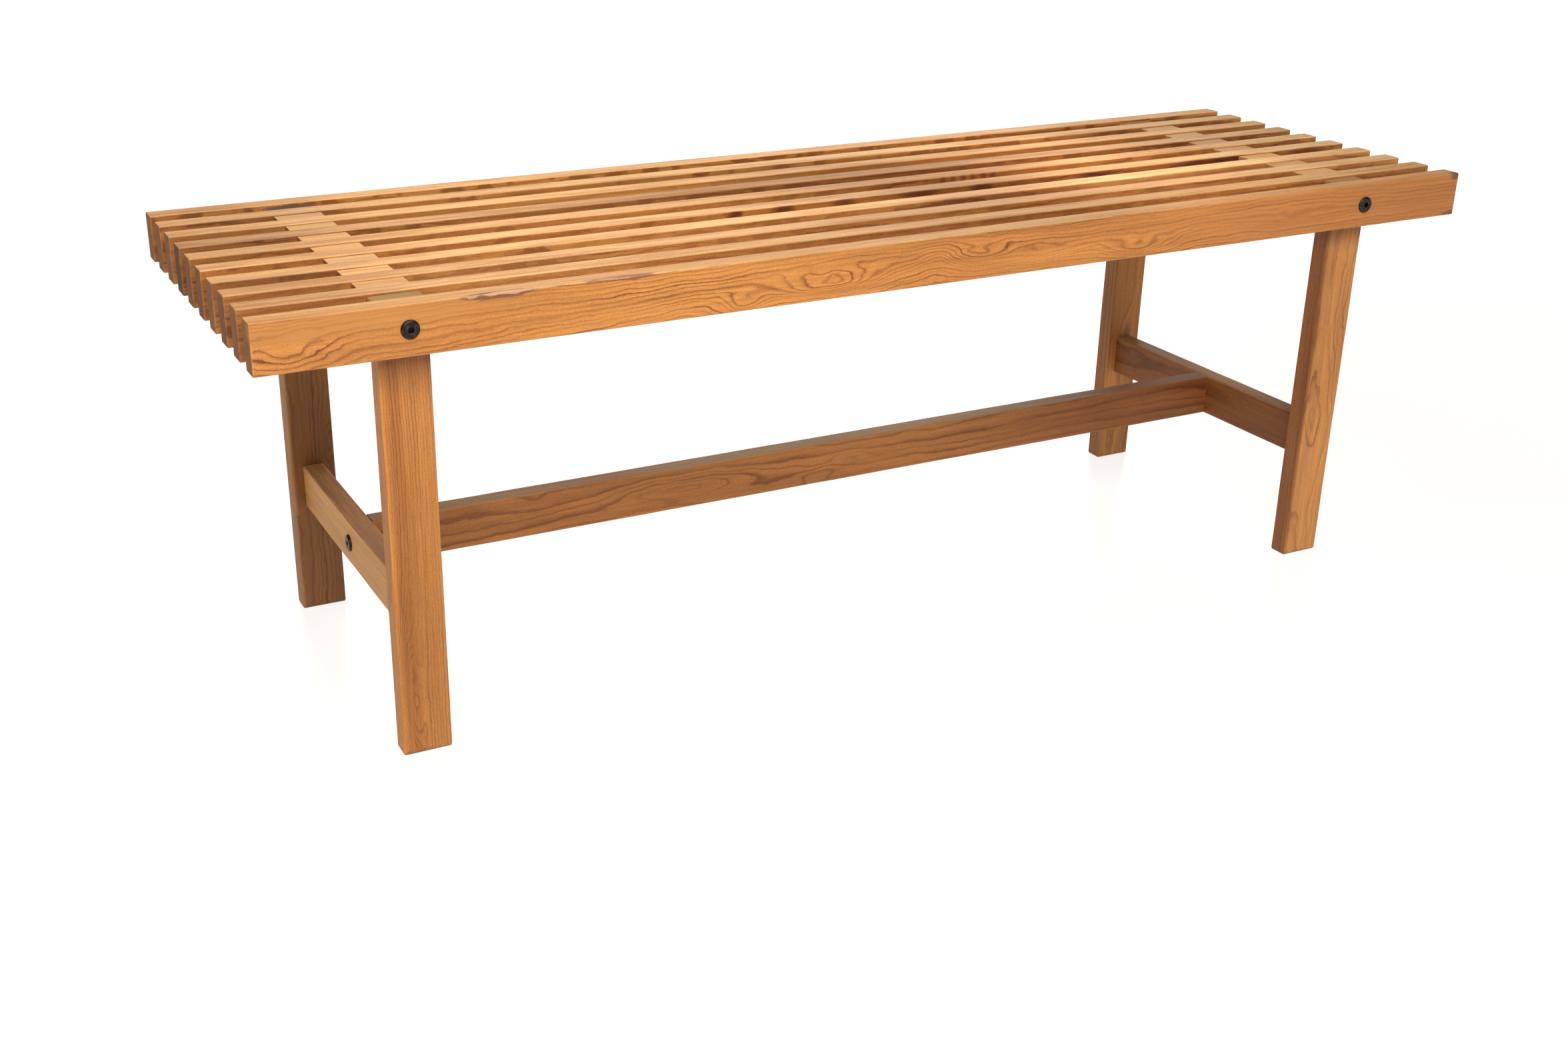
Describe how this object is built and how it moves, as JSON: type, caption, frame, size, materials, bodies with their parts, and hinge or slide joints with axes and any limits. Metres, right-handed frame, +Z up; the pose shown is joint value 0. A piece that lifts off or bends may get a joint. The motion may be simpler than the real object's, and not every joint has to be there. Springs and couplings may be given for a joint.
{
  "type": "slatted bench",
  "caption": "Fixed slatted pine bench: slats on edge and spacer blocks clamped by through rods, tenoned end frames and a bolted long stretcher.",
  "frame": {"origin": "on the floor under the middle of the bench", "axes": "+X along the slats towards the right end as seen from the front, -Y towards the front, +Z up"},
  "size_m": [1.332, 0.423, 0.438],
  "materials": {
    "pine_slats": "oiled, honey brown",
    "pine_spacers": "oiled, honey brown",
    "pine_legs": "oiled, honey brown",
    "pine_rails": "oiled, honey brown",
    "blackened_steel": "black oxide, satin",
    "bright_steel": "zinc plated"
  },
  "bodies": {
    "root": {"slat_01": "pine_slats", "slat_02": "pine_slats", "slat_03": "pine_slats", "slat_04": "pine_slats", "slat_05": "pine_slats", "slat_06": "pine_slats", "slat_07": "pine_slats", "slat_08": "pine_slats", "slat_09": "pine_slats", "slat_10": "pine_slats", "spacer_left_1": "pine_spacers", "spacer_left_2": "pine_spacers", "spacer_left_3": "pine_spacers", "spacer_left_4": "pine_spacers", "spacer_left_5": "pine_spacers", "spacer_left_6": "pine_spacers", "spacer_left_7": "pine_spacers", "spacer_right_1": "pine_spacers", "spacer_right_2": "pine_spacers", "spacer_right_3": "pine_spacers", "spacer_right_4": "pine_spacers", "spacer_right_5": "pine_spacers", "spacer_right_6": "pine_spacers", "spacer_right_7": "pine_spacers", "leg_rear_left": "pine_legs", "leg_front_left": "pine_legs", "leg_rear_right": "pine_legs", "leg_front_right": "pine_legs", "end_rail_left": "pine_rails", "end_rail_right": "pine_rails", "long_stretcher": "pine_rails", "seat_rod_left": "bright_steel", "seat_rod_right": "bright_steel", "barrel_nuts": "bright_steel", "sleeve_nuts_left": "blackened_steel", "sleeve_nuts_right": "blackened_steel", "stretcher_bolts": "blackened_steel"}
  },
  "joints": []
}
